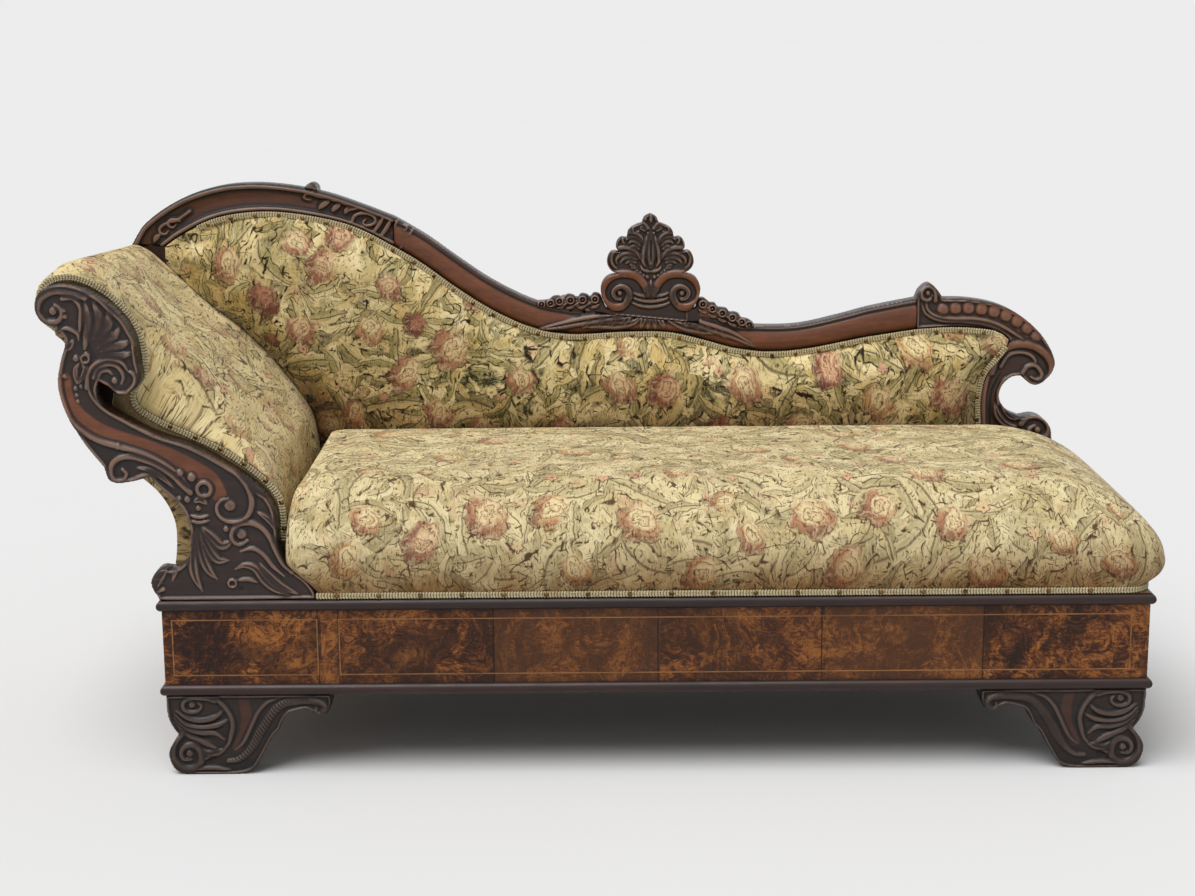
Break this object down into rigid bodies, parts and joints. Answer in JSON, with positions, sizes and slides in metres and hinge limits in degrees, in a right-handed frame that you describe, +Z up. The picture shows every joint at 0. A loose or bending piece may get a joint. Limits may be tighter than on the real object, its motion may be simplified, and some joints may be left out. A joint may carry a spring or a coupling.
{
  "type": "fainting couch",
  "caption": "Upholstered fainting couch with one scrolled head end, a low half back with carved crest ornament and a deep veneered base on carved feet.",
  "frame": {"origin": "on the floor, under the middle of the couch's own box", "axes": "+X from the scrolled head end towards the foot end, +Y from the seat's front towards the back, +Z up"},
  "size_m": [1.9088, 0.6716, 0.963],
  "materials": {
    "dark_wood": "satin, dark stained carved walnut",
    "show_wood": "satin, polished red-brown walnut",
    "burl_veneer": "satin, burl walnut veneer",
    "light_inlay": "satin, boxwood line",
    "secondary_wood": "matt, planed softwood",
    "pale_wood": "matt, beech dowel",
    "screw_steel": "dull slotted screws",
    "spring_steel": "dull coppered spring wire",
    "webbing": "matt woven jute webbing",
    "hessian": "matt open weave",
    "stuffing": "matt curled fibre",
    "twine": "matt laid twine",
    "lining_cloth": "matt plain cotton lining",
    "tapestry": "matt woven floral tapestry",
    "gimp": "matt braid",
    "nail_brass": "aged, half polished"
  },
  "bodies": {
    "root": {"front_rail": "secondary_wood", "rear_rail": "secondary_wood", "end_rail_left": "secondary_wood", "end_rail_right": "secondary_wood", "cross_rail": "secondary_wood", "seat_rear_rail": "secondary_wood", "front_veneer": "burl_veneer", "end_veneer_left": "burl_veneer", "end_veneer_right": "burl_veneer", "stringing": "light_inlay", "top_bead_front": "dark_wood", "top_bead_left": "dark_wood", "top_bead_right": "dark_wood", "bottom_bead_front": "dark_wood", "bottom_bead_left": "dark_wood", "bottom_bead_right": "dark_wood", "foot_front_left": "dark_wood", "foot_front_right": "dark_wood", "foot_rear_left": "dark_wood", "foot_rear_right": "dark_wood", "foot_dowels": "pale_wood", "corner_blocks": "secondary_wood", "block_screws": "screw_steel", "webbing_battens": "secondary_wood", "webbing_crosswise": "webbing", "webbing_lengthwise": "webbing", "dust_cover": "lining_cloth", "seat_springs": "spring_steel", "spring_twine": "twine", "seat_hessian": "hessian", "seat_stuffing": "stuffing", "seat_cover": "tapestry", "seat_gimp": "gimp", "seat_nails": "nail_brass", "crest_left": "show_wood", "crest_middle": "show_wood", "scroll_upright": "show_wood", "palmette": "dark_wood", "back_post_left": "show_wood", "back_bottom_rail": "secondary_wood", "crest_dowels": "pale_wood", "back_webbing": "webbing", "back_hessian": "hessian", "back_stuffing": "stuffing", "back_cover": "tapestry", "back_gimp": "gimp", "back_nails": "nail_brass", "outside_back_cover": "lining_cloth", "arm_facing": "dark_wood", "facing_dowels": "pale_wood", "arm_board_front": "secondary_wood", "arm_board_rear": "secondary_wood", "arm_rails": "secondary_wood", "arm_webbing": "webbing", "arm_hessian": "hessian", "arm_stuffing": "stuffing", "arm_cover": "tapestry", "arm_outside_cover": "tapestry", "arm_gimp": "gimp", "arm_nails": "nail_brass"}
  },
  "joints": []
}
